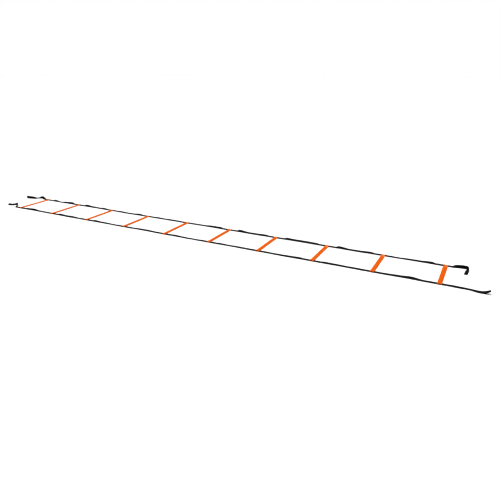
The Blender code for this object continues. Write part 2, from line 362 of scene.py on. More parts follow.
class StageSettings(bpy.types.PropertyGroup):
    """Floor, light and camera."""

    floor_size: bpy.props.FloatProperty(
        name="Floor Size", description="Side of the floor", default=120.0, unit="LENGTH"
    )
    floor_colour: bpy.props.FloatVectorProperty(
        name="Floor Colour",
        description="Colour of the studio floor",
        subtype="COLOR",
        size=4,
        default=linear_colour("E4E4E4"),
    )
    backdrop_strength: bpy.props.FloatProperty(
        name="Backdrop Strength",
        description="Brightness of the white backdrop that the camera sees",
        default=1.0,
        min=0,
    )
    horizon_strength: bpy.props.FloatProperty(
        name="Horizon Strength",
        description="Light that the object gets from low down all round",
        default=0.2,
        min=0,
    )
    wall_strength: bpy.props.FloatProperty(
        name="Wall Strength",
        description="Light that the object gets from the dim walls higher up",
        default=0.04,
        min=0,
    )
    overhead_strength: bpy.props.FloatProperty(
        name="Overhead Strength", description="Brightness of the softbox overhead", default=2.05, min=0
    )
    key_strength: bpy.props.FloatProperty(
        name="Key Strength", description="Strength of the soft key light", default=1.5, min=0
    )
    key_angle: bpy.props.FloatProperty(
        name="Key Softness",
        description="Angle that the key light fills, seen from the floor",
        default=math.radians(24),
        unit="ROTATION",
    )
    key_turn: bpy.props.FloatVectorProperty(
        name="Key Turn",
        description="Turn of the key light, which comes from high up behind the ladder",
        default=(math.radians(-30), math.radians(-14), 0),
        unit="ROTATION",
    )
    gamma: bpy.props.FloatProperty(
        name="Gamma", description="Tone of the shades between black and white", default=0.68, min=0.1
    )
    pixel_blur: bpy.props.FloatProperty(
        name="Pixel Blur",
        description="Width of a picture point's soft edge, narrow so that thin straps stay crisp",
        default=1.3,
        min=0.01,
    )
    camera_place: bpy.props.FloatVectorProperty(
        name="Camera Place",
        description="Where the camera stands",
        default=(2.4882, -3.7366, 1.512),
        unit="LENGTH",
    )
    camera_azimuth: bpy.props.FloatProperty(
        name="Camera Azimuth",
        description="Turn of the view about the upright, from looking along +Y",
        default=math.radians(27.113),
        unit="ROTATION",
    )
    camera_elevation: bpy.props.FloatProperty(
        name="Camera Elevation",
        description="How far the view looks down",
        default=math.radians(20.865),
        unit="ROTATION",
    )
    camera_lens: bpy.props.FloatProperty(
        name="Camera Lens", description="Focal length on a 36 mm frame", default=34.88, unit="CAMERA"
    )


def add_node(tree, kind, inputs=None, **settings):
    """Add a shader node, set its properties, and fill or link its inputs."""
    node = tree.nodes.new(kind)
    for name, value in settings.items():
        setattr(node, name, value)
    for name, value in (inputs or {}).items():
        if isinstance(value, bpy.types.NodeSocket):
            tree.links.new(value, node.inputs[name])
        else:
            node.inputs[name].default_value = value
    return node


def start_material(name):
    """A new material with a node tree, and its Principled shader."""
    material = bpy.data.materials.new(name)
    material.use_nodes = True
    return material, material.node_tree, material.node_tree.nodes["Principled BSDF"]


def make_slat_material(slats):
    """Injection-moulded polypropylene: satin, softly grained, a little rubbed along the rim."""
    material, tree, shader = start_material("moulded_polypropylene_orange")
    place = add_node(tree, "ShaderNodeTexCoord").outputs["Object"]
    # Pigment flows unevenly into the mould, which gives slow changes over about 60 mm.
    flow = add_node(tree, "ShaderNodeTexNoise", {"Vector": place, "Scale": 16.0, "Detail": 3.0})
    shade = add_node(
        tree,
        "ShaderNodeMapRange",
        {"Value": flow.outputs["Fac"], "From Min": 0.3, "From Max": 0.7, "To Min": 0.93, "To Max": 1.05},
    )
    pigment = add_node(
        tree,
        "ShaderNodeVectorMath",
        {0: slats.colour[:3], "Scale": shade.outputs["Result"]},
        operation="SCALE",
    )
    # Scuffs from soles: broken streaks about 1 mm wide and 15 mm long, running along the slat.
    streak_place = add_node(tree, "ShaderNodeMapping", {"Vector": place, "Scale": (900.0, 60.0, 900.0)})
    streaks = add_node(
        tree, "ShaderNodeTexNoise", {"Vector": streak_place.outputs["Vector"], "Scale": 1.0, "Detail": 4.0}
    )
    scuffs = add_node(
        tree,
        "ShaderNodeMapRange",
        {"Value": streaks.outputs["Fac"], "From Min": 0.58, "From Max": 0.72, "To Min": 0.0, "To Max": 1.0},
    )
    rim = add_node(tree, "ShaderNodeAttribute", attribute_name="rim").outputs["Fac"]
    chips = add_node(tree, "ShaderNodeTexNoise", {"Vector": place, "Scale": 350.0, "Detail": 3.0})
    rubbed_rim = add_node(tree, "ShaderNodeMath", {0: rim, 1: chips.outputs["Fac"]}, operation="MULTIPLY")
    faint_scuffs = add_node(
        tree, "ShaderNodeMath", {0: scuffs.outputs["Result"], 1: 0.16}, operation="MULTIPLY"
    )
    rubbed = add_node(
        tree,
        "ShaderNodeMath",
        {0: rubbed_rim.outputs["Value"], 1: faint_scuffs.outputs["Value"]},
        operation="MAXIMUM",
        use_clamp=True,
    )
    colour = add_node(
        tree,
        "ShaderNodeMix",
        {0: rubbed.outputs["Value"], 6: pigment.outputs["Vector"], 7: slats.rubbed_colour},
        data_type="RGBA",
    )
    tree.links.new(colour.outputs[2], shader.inputs["Base Color"])
    roughness = add_node(
        tree,
        "ShaderNodeMath",
        {0: scuffs.outputs["Result"], 1: 0.15, 2: 0.33},
        operation="MULTIPLY_ADD",
    )
    tree.links.new(roughness.outputs["Value"], shader.inputs["Roughness"])
    # The spark-eroded mould leaves a grain of about 0.05 mm, drawn here at 0.4 mm so that it shows.
    grain = add_node(tree, "ShaderNodeTexNoise", {"Vector": place, "Scale": 2500.0, "Detail": 2.0})
    bump = add_node(
        tree,
        "ShaderNodeBump",
        {"Height": grain.outputs["Fac"], "Strength": 0.25, "Distance": 0.05 * MM},
    )
    tree.links.new(bump.outputs["Normal"], shader.inputs["Normal"])
    shader.inputs["IOR"].default_value = 1.49
    shader.inputs["Specular IOR Level"].default_value = 0.25
    return material


def add_bulge(tree, count):
    """Add the roundness of yarns laid side by side: 0 at each whole count and 1 halfway to the next."""
    wave = add_node(tree, "ShaderNodeMath", {0: count, 1: math.pi}, operation="MULTIPLY")
    sine = add_node(tree, "ShaderNodeMath", {0: wave.outputs["Value"]}, operation="SINE")
    return add_node(tree, "ShaderNodeMath", {0: sine.outputs["Value"]}, operation="ABSOLUTE").outputs["Value"]


def make_webbing_material(webbing):
    """Woven polypropylene webbing: rows of short lengthwise floats, each row half a float on."""
    material, tree, shader = start_material("woven_polypropylene_black")
    place = add_node(tree, "ShaderNodeTexCoord").outputs["Object"]
    laid = add_node(tree, "ShaderNodeUVMap", uv_map="laid")
    parts = add_node(tree, "ShaderNodeSeparateXYZ", {"Vector": laid.outputs["UV"]})
    row = add_node(
        tree, "ShaderNodeMath", {0: parts.outputs["Y"], 1: webbing.warp_pitch}, operation="DIVIDE"
    ).outputs["Value"]
    row_number = add_node(tree, "ShaderNodeMath", {0: row}, operation="FLOOR").outputs["Value"]
    stagger = add_node(
        tree, "ShaderNodeMath", {0: row_number, 1: 2.0}, operation="FLOORED_MODULO"
    ).outputs["Value"]
    along = add_node(
        tree, "ShaderNodeMath", {0: parts.outputs["X"], 1: webbing.weft_pitch}, operation="DIVIDE"
    ).outputs["Value"]
    along_row = add_node(
        tree, "ShaderNodeMath", {0: stagger, 1: 0.5, 2: along}, operation="MULTIPLY_ADD"
    ).outputs["Value"]
    float_height = add_node(
        tree, "ShaderNodeMath", {0: add_bulge(tree, row), 1: add_bulge(tree, along_row)}, operation="MULTIPLY"
    ).outputs["Value"]
    crown = add_node(tree, "ShaderNodeMath", {0: float_height, 1: 0.6}, operation="POWER").outputs["Value"]
    # Painted shade: the colour darkens from each yarn's crown down into the gaps beside it.
    yarn = add_node(
        tree,
        "ShaderNodeMix",
        {0: crown, 6: webbing.hollow_shade_colour, 7: webbing.colour},
        data_type="RGBA",
    ).outputs[2]
    # Dye and handling leave slow changes over about 40 mm, and lint sits in scattered specks.
    age = add_node(tree, "ShaderNodeTexNoise", {"Vector": place, "Scale": 25.0, "Detail": 2.0})
    age_shade = add_node(
        tree,
        "ShaderNodeMapRange",
        {"Value": age.outputs["Fac"], "From Min": 0.3, "From Max": 0.7, "To Min": 0.75, "To Max": 1.25},
    )
    aged = add_node(
        tree, "ShaderNodeVectorMath", {0: yarn, "Scale": age_shade.outputs["Result"]}, operation="SCALE"
    )
    specks = add_node(tree, "ShaderNodeTexNoise", {"Vector": place, "Scale": 420.0, "Detail": 3.0})
    lint = add_node(
        tree,
        "ShaderNodeMapRange",
        {"Value": specks.outputs["Fac"], "From Min": 0.66, "From Max": 0.78, "To Min": 0.0, "To Max": 0.5},
    )
    colour = add_node(
        tree,
        "ShaderNodeMix",
        {0: lint.outputs["Result"], 6: aged.outputs["Vector"], 7: webbing.lint_colour},
        data_type="RGBA",
    )
    tree.links.new(colour.outputs[2], shader.inputs["Base Color"])
    roughness = add_node(
        tree,
        "ShaderNodeMapRange",
        {"Value": crown, "From Min": 0.0, "From Max": 1.0, "To Min": 0.9, "To Max": 0.55},
    )
    tree.links.new(roughness.outputs["Result"], shader.inputs["Roughness"])
    bump = add_node(
        tree, "ShaderNodeBump", {"Height": crown, "Strength": 0.8, "Distance": 0.25 * MM}
    )
    tree.links.new(bump.outputs["Normal"], shader.inputs["Normal"])
    shader.inputs["IOR"].default_value = 1.49
    shader.inputs["Specular IOR Level"].default_value = 0.22
    return material


def make_sealed_material(webbing):
    """Webbing yarn melted by the hot knife that cut it: hard, uneven and glossier than the weave."""
    material, tree, shader = start_material("heat_sealed_polypropylene_black")
    place = add_node(tree, "ShaderNodeTexCoord").outputs["Object"]
    blobs = add_node(tree, "ShaderNodeTexNoise", {"Vector": place, "Scale": 900.0, "Detail": 2.0})
    # Painted shade: the tip is darker where its melted blobs dip, with the same noise that gives its bumps.
    shade = add_node(
        tree,
        "ShaderNodeMix",
        {0: blobs.outputs["Fac"], 6: webbing.hollow_shade_colour, 7: webbing.colour},
        data_type="RGBA",
    )
    tree.links.new(shade.outputs[2], shader.inputs["Base Color"])
    bump = add_node(
        tree, "ShaderNodeBump", {"Height": blobs.outputs["Fac"], "Strength": 0.6, "Distance": 0.3 * MM}
    )
    tree.links.new(bump.outputs["Normal"], shader.inputs["Normal"])
    shader.inputs["Roughness"].default_value = 0.35
    shader.inputs["IOR"].default_value = 1.49
    return material


def make_floor_material(stage):
    """Matte studio paper, almost white."""
    material, tree, shader = start_material("matte_studio_paper")
    place = add_node(tree, "ShaderNodeTexCoord").outputs["Object"]
    fibre = add_node(tree, "ShaderNodeTexNoise", {"Vector": place, "Scale": 400.0, "Detail": 2.0})
    bump = add_node(
        tree, "ShaderNodeBump", {"Height": fibre.outputs["Fac"], "Strength": 0.1, "Distance": 0.1 * MM}
    )
    tree.links.new(bump.outputs["Normal"], shader.inputs["Normal"])
    shader.inputs["Base Color"].default_value = stage.floor_colour
    shader.inputs["Roughness"].default_value = 0.95
    shader.inputs["Specular IOR Level"].default_value = 0.0
    return material


def make_surround(stage):
    """A white backdrop for the camera, and for light a low cove, dim walls and a softbox overhead."""
    surround = bpy.data.worlds.new("studio_surround")
    surround.use_nodes = True
    tree = surround.node_tree
    direction = add_node(tree, "ShaderNodeTexCoord").outputs["Generated"]
    # The height of a direction is the sine of its angle above the horizon.
    height = add_node(tree, "ShaderNodeSeparateXYZ", {"Vector": direction}).outputs["Z"]
    walls = add_node(
        tree,
        "ShaderNodeMapRange",
        {
            "Value": height,
            "From Min": 0.2,
            "From Max": 0.34,
            "To Min": stage.horizon_strength,
            "To Max": stage.wall_strength,
        },
        interpolation_type="SMOOTHSTEP",
    )
    softbox = add_node(
        tree,
        "ShaderNodeMapRange",
        {
            "Value": height,
            "From Min": 0.6,
            "From Max": 0.85,
            "To Min": 0.0,
            "To Max": stage.overhead_strength - stage.wall_strength,
        },
        interpolation_type="SMOOTHSTEP",
    )
    light = add_node(
        tree, "ShaderNodeMath", {0: walls.outputs["Result"], 1: softbox.outputs["Result"]}, operation="ADD"
    )
    seen = add_node(tree, "ShaderNodeLightPath").outputs["Is Camera Ray"]
    strength = add_node(
        tree, "ShaderNodeMix", {0: seen, 2: light.outputs["Value"], 3: stage.backdrop_strength}
    )
    backdrop = tree.nodes["Background"]
    backdrop.inputs["Color"].default_value = (1, 1, 1, 1)
    tree.links.new(strength.outputs[0], backdrop.inputs["Strength"])
    return surround


def hump(x, centre, reach):
    """One smooth rise and fall between centre - reach and centre + reach, 1 at the centre."""
    share = abs(x - centre) / reach
    return 0.5 + 0.5 * math.cos(math.pi * share) if share < 1 else 0.0


def ease(share):
    """A smooth step from 0 to 1."""
    share = min(max(share, 0.0), 1.0)
    return share * share * (3 - 2 * share)


def curve_between(p, q, r, s, t):
    """A number on the smooth curve from q to r, whose neighbours are p and s, at the share t."""
    bow = t**2 * (p - 2.5 * q + 2 * r - s / 2)
    turn = t**3 * (1.5 * (q - r) + (s - p) / 2)
    return q + t * (r - p) / 2 + bow + turn


def smooth_rows(rows):
    """Rows of numbers joined by a smooth curve through each of them."""
    steps = 8
    rows = [rows[0], *rows, rows[-1]]
    found = []
    for spans in zip(rows, rows[1:], rows[2:], rows[3:]):
        for step in range(steps):
            found.append(tuple(curve_between(*span, step / steps) for span in zip(*spans)))
    return found + [rows[-1]]


def spaced_places(start, end, step):
    """Evenly spaced places from start to end, about one step apart, without the last."""
    steps = max(1, round((end - start) / step))
    return [start + (end - start) * index / steps for index in range(steps)]


def rung_x(number):
    """Where a slat lies along the ladder, counted from 1."""
    return FIRST_RUNG_X + (number - 1) * RUNG_PITCH


class Strap:
    """One strap of the ladder: where its middle line runs and how the webbing tilts about it."""

    def __init__(self, word, slats, webbing):
        self.word = word
        self.side = -1 if word == "near" else 1
        self.width = webbing.width
        self.thickness = webbing.thickness
        self.guided_height = KEEPER_BAR + STRAP_CLEARANCE + webbing.thickness / 2
        self.y = self.side * (slats.length / 2 - OUTER_POST - STRAP_CLEARANCE - webbing.width / 2)
        self.flat_reach = SLIDE_TRAVEL + slats.width / 2 + SLIDE_MARGIN
        self.tail_flat_reach = TAIL_SLIDE_TRAVEL + slats.width / 2 + SLIDE_MARGIN
        self.free_reach = RUNG_PITCH / 2 - self.flat_reach
        self.tilt_shares = NEAR_TILT_SHARES if self.side < 0 else FAR_TILT_SHARES
        self.sways = NEAR_SWAY_SHARES if self.side < 0 else FAR_SWAY_SHARES

    def resting_height(self, tilt, settled=1.0):
        """Height of the middle when the lower edge touches the floor, and a little more near a keeper."""
        touching = self.width / 2 * abs(math.sin(tilt)) + self.thickness / 2 * abs(math.cos(tilt))
        return touching + (self.guided_height - self.thickness / 2) * (1 - settled)

    def bay_station(self, bay, x):
        """Centre and across direction at a place in a bay."""
        middle = rung_x(bay) + RUNG_PITCH / 2
        settled = ease((self.free_reach - abs(x - middle)) / SETTLE_LENGTH)
        tilt = 0.0
        for place, share in zip(TILT_PLACE_SHARES, self.tilt_shares[bay - 1]):
            wave = hump(x, middle + place * self.free_reach, TILT_REACH_SHARE * self.free_reach)
            tilt += settled * share * MAX_TILT * wave
        y = self.y + self.sways[bay - 1] * SWAY * hump(x, middle, self.free_reach)
        across = Vector((0, math.cos(tilt), math.sin(tilt)))
        return Vector((x, y, self.resting_height(tilt, settled))), across

    def bay_stations(self, bay, fold_reach):
        """Stations from the slat before a bay to the slat after it, closest together at the fold."""
        start = rung_x(bay)
        middle = start + RUNG_PITCH / 2
        end = start + RUNG_PITCH
        places = spaced_places(start, start + self.flat_reach, GUIDED_STEP)
        places += spaced_places(start + self.flat_reach, middle - fold_reach, FREE_STEP)
        places += spaced_places(middle - fold_reach, middle + fold_reach, FOLD_STEP)
        places += spaced_places(middle + fold_reach, end - self.flat_reach, FREE_STEP)
        places += spaced_places(end - self.flat_reach, end, GUIDED_STEP)
        return [self.bay_station(bay, x) for x in [*places, end]]

    def tail_centres(self, rows, end):
        """Centres and tilts of a tail that runs on from the first slat, end -1, or the last, end 1."""
        start_x = rung_x(1 if end < 0 else RUNG_COUNT)
        flat_share = self.tail_flat_reach / TAIL_LENGTH
        centres = []
        for along, drift, lift, tilt_degrees in smooth_rows([(flat_share, 0.0, 0.0, 0.0), *rows]):
            settled = ease((along - flat_share) * TAIL_LENGTH / SETTLE_LENGTH)
            tilt = settled * math.radians(tilt_degrees)
            height = self.resting_height(tilt, settled) + lift * CURL_RISE
            place = Vector((start_x + end * along * TAIL_LENGTH, self.y + drift * self.width, height))
            centres.append((place, tilt))
        return centres

    def corner_tail_centres(self):
        """The far tail at the last slat: it tips onto its edge, turns a corner and lies down again."""
        corner_row = (FAR_RIGHT_CORNER_SHARE, *FAR_RIGHT_RUN_SHARES[-1][1:3], FAR_RIGHT_END_TILTS[0])
        centres = self.tail_centres([*FAR_RIGHT_RUN_SHARES, corner_row], 1)
        corner, tilt = centres[-1]
        bend_steps = 10
        for step in range(1, bend_steps + 1):
            turn = math.pi / 2 * step / bend_steps
            centres.append((corner + CORNER_BEND * Vector((math.sin(turn), math.cos(turn) - 1, 0)), tilt))
        run = TAIL_LENGTH * (FAR_RIGHT_END_SHARE - FAR_RIGHT_CORNER_SHARE) - CORNER_BEND * math.pi / 2
        turned = centres[-1][0]
        last = len(FAR_RIGHT_END_TILTS) - 1
        rows = [(index / last, degrees) for index, degrees in enumerate(FAR_RIGHT_END_TILTS)]
        for along, tilt_degrees in smooth_rows(rows)[1:]:
            tilt = math.radians(tilt_degrees)
            drift = FAR_RIGHT_END_DRIFT_SHARE * self.width * along**2
            place = Vector((turned.x + drift, turned.y - run * along, self.resting_height(tilt)))
            centres.append((place, tilt))
        return centres

    def tail_stations(self, end, sealed_length):
        """Stations of a tail from its slat to its tip, with a few close together in the melted tip."""
        if end > 0 and self.side > 0:
            centres = self.corner_tail_centres()
        elif end > 0:
            centres = self.tail_centres(NEAR_RIGHT_TAIL_SHARES, end)
        else:
            rows = NEAR_LEFT_TAIL_SHARES if self.side < 0 else FAR_LEFT_TAIL_SHARES
            centres = self.tail_centres(rows, end)
        slat_x = rung_x(1 if end < 0 else RUNG_COUNT)
        guided = [
            (Vector((slat_x + end * reach, self.y, self.guided_height)), 0.0)
            for reach in spaced_places(0.0, self.tail_flat_reach, GUIDED_STEP)
        ]
        tip, tilt = centres.pop()
        inward = (centres[-1][0] - tip).normalized()
        sealed_shares = (1.0, 0.75, 0.5, 0.25, 0.08, 0.0)
        centres += [(tip + inward * share * sealed_length, tilt) for share in sealed_shares]
        return tilted_stations([*guided, *centres], end)


def tilted_stations(centres, end):
    """Give each centre its across direction: level and square to the path, then tilted about it.

    The path runs outwards from the end slat, and end is -1 for the first and 1 for the last.
    """
    stations = []
    for index, (place, tilt) in enumerate(centres):
        before = centres[max(index - 1, 0)][0]
        after = centres[min(index + 1, len(centres) - 1)][0]
        ahead = (after - before).normalized()
        level = end * Vector((0, 0, 1)).cross(ahead).normalized()
        up = end * ahead.cross(level)
        stations.append((place, level * math.cos(tilt) + up * math.sin(tilt)))
    return stations


def select_verts(thing, wanted):
    """In edit mode, select the vertices whose place is wanted, and the edges and faces between them."""
    shape = bmesh.from_edit_mesh(thing.data)
    for vert in shape.verts:
        vert.select_set(wanted(vert.co))
    shape.select_flush(True)
    bmesh.update_edit_mesh(thing.data)


def select_edges(thing, wanted):
    """In edit mode, select the edges that are wanted, alone."""
    bpy.ops.mesh.select_all(action="DESELECT")
    shape = bmesh.from_edit_mesh(thing.data)
    for edge in shape.edges:
        edge.select_set(wanted(edge))
    bmesh.update_edit_mesh(thing.data)


def cut_across(axis, place):
    """In edit mode, cut the whole mesh square to an axis at a place along it."""
    direction = Vector((axis == "X", axis == "Y", axis == "Z"))
    bpy.ops.mesh.select_all(action="SELECT")
    bpy.ops.mesh.bisect(plane_co=direction * place, plane_no=direction)


def keeper_start(slats, webbing):
    """How far from the slat's middle a keeper starts."""
    return slats.length / 2 - OUTER_POST - 2 * STRAP_CLEARANCE - webbing.width - INNER_POST


def crest_height(y, ramp_end, slats):
    """Height of the slat's crown at a place along it: the blade, a ramp, then the keeper."""
    climb = ease((abs(y) - ramp_end + slats.ramp_length) / slats.ramp_length)
    return slats.blade_thickness + (slats.keeper_top - slats.blade_thickness) * climb


def is_rim(edge, upward):
    """Whether an edge joins a wall to the crown, upward 1, or to the sole, upward -1."""
    if len(edge.link_faces) != 2:
        return False
    level_slope, wall_slope = 0.7, 0.3
    slopes = sorted((face.normal.z * upward for face in edge.link_faces), reverse=True)
    return slopes[0] > level_slope and abs(slopes[1]) < wall_slope


def shape_slat_blank(slats, webbing):
    """A solid slat about its own middle: a sheet with round corners, ramped, crowned and walled."""
    bpy.ops.mesh.primitive_plane_add(size=1)
    slat = bpy.context.active_object
    bpy.ops.object.mode_set(mode="EDIT")
    bpy.ops.mesh.select_mode(type="VERT")
    bpy.ops.transform.resize(value=(slats.width, slats.length, 1))
    bpy.ops.mesh.bevel(offset=slats.corner_radius, segments=10, affect="VERTICES")
    ramp_end = keeper_start(slats, webbing)
    ramp_steps = 8
    for step in range(ramp_steps + 1):
        y = ramp_end - slats.ramp_length * step / ramp_steps
        cut_across("Y", y)
        cut_across("Y", -y)
    crown_shares = (-0.9, -0.7, -0.45, -0.2, 0.0, 0.2, 0.45, 0.7, 0.9)
    for share in crown_shares:
        cut_across("X", share * slats.width / 2)
    shape = bmesh.from_edit_mesh(slat.data)
    for vert in shape.verts:
        across = vert.co.x / (slats.width / 2)
        vert.co.z = crest_height(vert.co.y, ramp_end, slats) - slats.crown_rise * across**2
    bmesh.update_edit_mesh(slat.data)
    bpy.ops.mesh.select_all(action="SELECT")
    bpy.ops.mesh.region_to_loop()
    bpy.ops.mesh.extrude_edges_move(TRANSFORM_OT_translate={"value": (0, 0, -slats.blade_thickness)})
    bpy.ops.transform.resize(value=(1, 1, 0), center_override=(0, 0, 0))
    bpy.ops.mesh.edge_face_add()
    bpy.ops.mesh.select_all(action="SELECT")
    bpy.ops.mesh.normals_make_consistent(inside=False)
    for upward, radius, steps in ((1, slats.rim_round, 4), (-1, slats.sole_round, 2)):
        select_edges(slat, lambda edge: is_rim(edge, upward))
        bpy.ops.mesh.bevel(offset=radius, segments=steps, affect="EDGES", clamp_overlap=True)
    bpy.ops.object.mode_set(mode="OBJECT")
    return slat


def shape_tunnel_cutter(side, slats, webbing):
    """The slot for the webbing through one keeper, with round corners and flared mouths."""
    height = webbing.thickness + 2 * STRAP_CLEARANCE
    width = webbing.width + 2 * STRAP_CLEARANCE
    length = slats.width + 4 * slats.mouth_flare
    strap_y = slats.length / 2 - OUTER_POST - STRAP_CLEARANCE - webbing.width / 2
    bpy.ops.mesh.primitive_cube_add(size=1)
    cutter = bpy.context.active_object
    bpy.ops.object.mode_set(mode="EDIT")
    bpy.ops.transform.resize(value=(length, width, height))
    select_edges(cutter, lambda edge: abs(edge.verts[0].co.x - edge.verts[1].co.x) > slats.width / 2)
    bpy.ops.mesh.bevel(offset=slats.mouth_flare, segments=3, affect="EDGES")
    for end in (-1, 1):
        cut_across("X", end * (slats.width / 2 - slats.mouth_flare))
    select_verts(cutter, lambda place: abs(place.x) > slats.width / 2)
    spread = 4 * slats.mouth_flare
    bpy.ops.transform.resize(value=(1, 1 + spread / width, 1 + spread / height), center_override=(0, 0, 0))
    bpy.ops.mesh.select_all(action="SELECT")
    bpy.ops.transform.translate(value=(0, side * strap_y, KEEPER_BAR + height / 2))
    bpy.ops.object.mode_set(mode="OBJECT")
    return cutter


def shape_notch_cutter(side, slats):
    """A notch in the end of a keeper, down to its bar, that shows the edge of the webbing."""
    length = 2 * NOTCH_DEPTH
    height = 2 * slats.keeper_top
    bpy.ops.mesh.primitive_cube_add(size=1)
    cutter = bpy.context.active_object
    bpy.ops.object.mode_set(mode="EDIT")
    bpy.ops.transform.resize(value=(NOTCH_LENGTH, length, height))
    select_edges(cutter, lambda edge: abs(edge.verts[0].co.z - edge.verts[1].co.z) > height / 2)
    bpy.ops.mesh.bevel(offset=NOTCH_ROUND, segments=5, affect="EDGES")
    bpy.ops.mesh.select_all(action="SELECT")
    notch_bottom = KEEPER_BAR - NOTCH_SINK
    bpy.ops.transform.translate(value=(0, side * slats.length / 2, notch_bottom + height / 2))
    bpy.ops.object.mode_set(mode="OBJECT")
    return cutter


def shape_pin_cutter(y, slats):
    """The shallow round mark that an ejector pin of the mould leaves in the sole."""
    depth = 2 * slats.pin_mark_depth
    bpy.ops.mesh.primitive_cylinder_add(
        vertices=32, radius=slats.pin_mark_width / 2, depth=depth, location=(0, y, 0)
    )
    return bpy.context.active_object


def cut_with(slat, cutter):
    """Take a cutter out of the slat and remove the cutter."""
    cut = slat.modifiers.new("cut", "BOOLEAN")
    cut.operation = "DIFFERENCE"
    cut.object = cutter
    bpy.ops.object.select_all(action="DESELECT")
    bpy.context.view_layer.objects.active = slat
    bpy.ops.object.modifier_apply(modifier=cut.name)
    bpy.data.objects.remove(cutter)


def mark_rim(slat, slats):
    """Store how close each vertex is to the rim, where handling rubs the slat pale."""
    rim = slat.data.attributes.new("rim", "FLOAT", "POINT")
    rubbed_width = slats.rim_round * 0.9
    wall_start = slats.sole_round * 2
    for vert, mark in zip(slat.data.vertices, rim.data):
        inward = min(slats.width / 2 - abs(vert.co.x), slats.length / 2 - abs(vert.co.y))
        mark.value = 1.0 if inward < rubbed_width and vert.co.z > wall_start else 0.0


def finish_shading(thing, angle):
    """Shade a piece smooth, keep its sharp edges, and let its flat faces stay flat."""
    bpy.ops.object.select_all(action="DESELECT")
    thing.select_set(True)
    bpy.context.view_layer.objects.active = thing
    bpy.ops.object.shade_smooth_by_angle(angle=angle)
    even = thing.modifiers.new("even", "WEIGHTED_NORMAL")
    even.keep_sharp = True
    bpy.ops.object.modifier_apply(modifier=even.name)


def place_copy(model, name, offset):
    """A copy of a modelled piece with its own mesh, moved in its mesh, at the origin."""
    mesh = model.data.copy()
    mesh.name = name
    mesh.transform(Matrix.Translation(offset))
    copy = bpy.data.objects.new(name, mesh)
    bpy.context.scene.collection.objects.link(copy)
    return copy


def webbing_section():
    """Places round the webbing's section, over the top and back underneath, ending where it starts."""
    mirrored = [(-across, height) for across, height in reversed(EDGE_PROFILE_SHARES)]
    upper = [*EDGE_PROFILE_SHARES, (0.0, 1.0), *mirrored]
    return upper + [(across, -height) for across, height in reversed(upper[:-1])]


def model_webbing(name, stations, webbing, along_start, sealed_end=0):
    """A length of webbing: a grid wrapped round the section at each station, closed at both ends.

    along_start is where it starts along the strap. sealed_end is -1 or 1 where its first or last
    station is a melted tip, and 0 where it runs on inside a keeper.
    """
    section = webbing_section()
    rows = len(stations) - 1
    turns = len(section) - 1
    bpy.ops.object.select_all(action="DESELECT")
    bpy.ops.mesh.primitive_grid_add(x_subdivisions=rows, y_subdivisions=turns, size=2)
    piece = bpy.context.active_object
    piece.name = name
    piece.data.name = name
    centres = [centre for centre, across in stations]
    run = [along_start]
    for before, after in zip(centres, centres[1:]):
        run.append(run[-1] + (after - before).length)
    swell = [1.0] * len(stations)
    if sealed_end:
        tip = run[-1] if sealed_end > 0 else run[0]
        swell = [sealed_swell(abs(along - tip) / webbing.sealed_length) for along in run]
    keys = []
    for vert in piece.data.vertices:
        row = round((vert.co.x + 1) / 2 * rows)
        turn = round((vert.co.y + 1) / 2 * turns)
        centre, across = stations[row]
        ahead = (centres[min(row + 1, rows)] - centres[max(row - 1, 0)]).normalized()
        up = ahead.cross(across).normalized()
        place, height = section[turn]
        rise = height * webbing.thickness / 2 * swell[row]
        vert.co = centre + across * (place * webbing.width / 2) + up * rise
        keys.append((run[row], place * webbing.width / 2))
    layer = piece.data.uv_layers.active
    layer.name = "laid"
    for loop in piece.data.loops:
        layer.data[loop.index].uv = keys[loop.vertex_index]
    bpy.ops.object.mode_set(mode="EDIT")
    bpy.ops.mesh.select_all(action="SELECT")
    bpy.ops.mesh.remove_doubles(threshold=0.001 * MM)
    bpy.ops.mesh.fill_holes(sides=0)
    bpy.ops.mesh.normals_make_consistent(inside=False)
    bpy.ops.object.mode_set(mode="OBJECT")
    bpy.ops.object.shade_smooth_by_angle(angle=math.radians(50))
    piece.data.materials.append(find_material("woven_polypropylene_black"))
    if sealed_end:
        piece.data.materials.append(find_material("heat_sealed_polypropylene_black"))
        tip, inner = (centres[-1], centres[-2]) if sealed_end > 0 else (centres[0], centres[1])
        outward = (tip - inner).normalized()
        for face in piece.data.polygons:
            inward = tip - face.center
            near_tip = inward.length <= webbing.width
            face.material_index = 1 if near_tip and inward.dot(outward) < webbing.sealed_length else 0
    return piece


def sealed_swell(share):
    """Thickness of the melted tip, at a share of its length from the end: rounded, then a bead."""
    if share >= 1:
        return 1.0
    edge_thickness, bead_rise, bead_turn = 0.5, 0.75, 0.72
    inward = min(share * 1.2 + 0.1, 1.0)
    return edge_thickness + bead_rise * math.sin(math.pi * inward * bead_turn)


def find_material(name):
    """A material made earlier, by its name."""
    return bpy.data.materials[name]


class LADDER_OT_materials(bpy.types.Operator):
    """Make the finishes of the slats and the webbing"""

    bl_idname = "ladder.materials"
    bl_label = "Ladder Finishes"

    def execute(self, context):
        make_slat_material(context.scene.ladder_slats)
        make_webbing_material(context.scene.ladder_webbing)
        make_sealed_material(context.scene.ladder_webbing)
        return {"FINISHED"}


